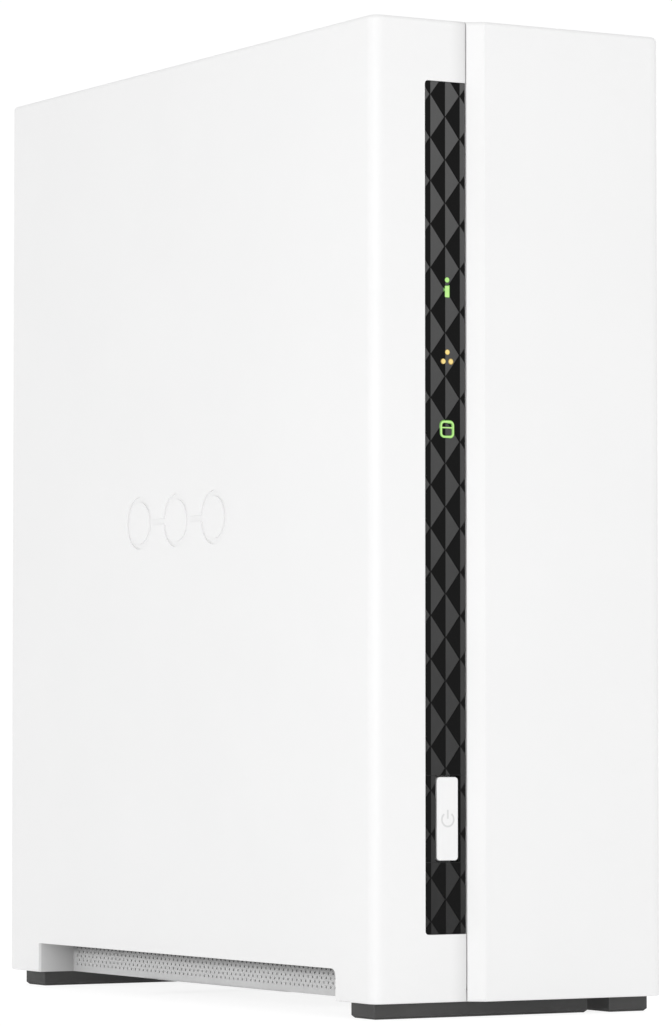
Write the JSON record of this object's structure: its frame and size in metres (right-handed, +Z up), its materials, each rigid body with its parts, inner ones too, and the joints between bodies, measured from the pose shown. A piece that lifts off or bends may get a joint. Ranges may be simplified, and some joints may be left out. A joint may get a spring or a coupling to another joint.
{
  "type": "network attached storage",
  "caption": "Slim upright desktop network storage box: white shell, sliding side cover, black light strip, power key, fan, rear sockets and an upright hard drive inside.",
  "frame": {"origin": "under the middle of the box, on the surface it stands on", "axes": "+X to the right seen from the front, +Y to the back, +Z up"},
  "size_m": [0.064, 0.1562, 0.1886],
  "materials": {
    "case_white": "fine satin, faintly textured moulding",
    "grille_white": "satin perforated moulding",
    "foot_grey": "matt dark grey pads",
    "strip_black": "gloss black with faceted diamonds",
    "light_green": "clear moulding lit green",
    "light_amber": "clear moulding lit amber",
    "led_package": "light-emitting chips",
    "button_white": "satin key",
    "board_green": "solder mask over glass-fibre board",
    "part_black": "moulded black plastic",
    "part_blue": "moulded blue plastic",
    "socket_steel": "nickel-plated sheet",
    "screw_steel": "zinc-plated screws",
    "contact_gold": "gold-plated contacts",
    "reset_grey": "small plunger",
    "cast_aluminium": "cast and machined",
    "lid_steel": "brushed and coated lid",
    "disc_mirror": "polished discs",
    "magnet_nickel": "nickel-plated magnet",
    "rubber_black": "soft rubber"
  },
  "bodies": {
    "chassis": {"left_shell": "case_white", "back_panel": "case_white", "intake_grille": "grille_white", "front_foot": "foot_grey", "back_foot": "foot_grey", "indicator_strip": "strip_black", "status_light_guide": "light_green", "disk_light_guide": "light_green", "network_light_guide": "light_amber", "indicator_leds": "led_package", "main_board": "board_green", "front_board": "board_green", "backplane": "board_green", "drive_board": "board_green", "front_board_link": "part_black", "processor": "part_black", "memory_chips": "part_black", "flash_chip": "part_black", "coin_cell_holder": "part_black", "buzzer": "part_black", "power_inlet": "part_black", "reset_switch": "part_black", "power_switch": "part_black", "drive_plug": "part_black", "drive_socket": "part_black", "board_link": "part_black", "fan_frame": "part_black", "usb_tongue": "part_black", "fan_plug": "part_black", "usb_tongue_fast": "part_blue", "lan_socket": "socket_steel", "usb_socket_fast": "socket_steel", "usb_socket": "socket_steel", "power_inlet_pin": "socket_steel", "coin_cell": "socket_steel", "drive_bracket": "socket_steel", "spindle_motor": "socket_steel", "front_board_screws": "screw_steel", "main_board_screws": "screw_steel", "bracket_screws": "screw_steel", "drive_screws": "screw_steel", "fan_screws": "screw_steel", "case_screws": "screw_steel", "drive_lid_screws": "screw_steel", "lan_contacts": "contact_gold", "drive_case": "cast_aluminium", "heat_sink": "cast_aluminium", "capacitors": "cast_aluminium", "drive_lid": "lid_steel", "coil_magnet": "magnet_nickel", "drive_grommets": "rubber_black", "fan_lead": "rubber_black"},
    "cover": {"case_cover": "case_white", "cover_front_foot": "foot_grey", "cover_back_foot": "foot_grey"},
    "power_button": {"power_button": "button_white"},
    "reset_button": {"reset_button": "reset_grey"},
    "fan_rotor": {"fan_rotor": "part_black"},
    "disc_stack": {"disc_stack": "disc_mirror"},
    "head_arm": {"head_arm": "cast_aluminium"}
  },
  "joints": [
    {"name": "cover_slide", "type": "slide", "parent": "chassis", "child": "cover", "axis": [0, -1, 0], "range_m": [0, 0.16]},
    {"name": "power_button_press", "type": "slide", "parent": "chassis", "child": "power_button", "axis": [0, 1, 0], "range_m": [0, 0.001], "stiffness_N_per_m": 400},
    {"name": "reset_button_press", "type": "slide", "parent": "chassis", "child": "reset_button", "axis": [0, -1, 0], "range_m": [0, 0.0006], "stiffness_N_per_m": 600},
    {"name": "fan_spin", "type": "hinge", "parent": "chassis", "child": "fan_rotor", "pos_m": [-0.001, 0.066, 0.147], "axis": [0, 1, 0], "continuous": true},
    {"name": "disc_spin", "type": "hinge", "parent": "chassis", "child": "disc_stack", "pos_m": [0.008, -0.0092, 0.117], "axis": [1, 0, 0], "continuous": true},
    {"name": "head_arm_swing", "type": "hinge", "parent": "chassis", "child": "head_arm", "pos_m": [0.008, 0.017, 0.054], "axis": [1, 0, 0], "range_deg": [0, 40]}
  ]
}
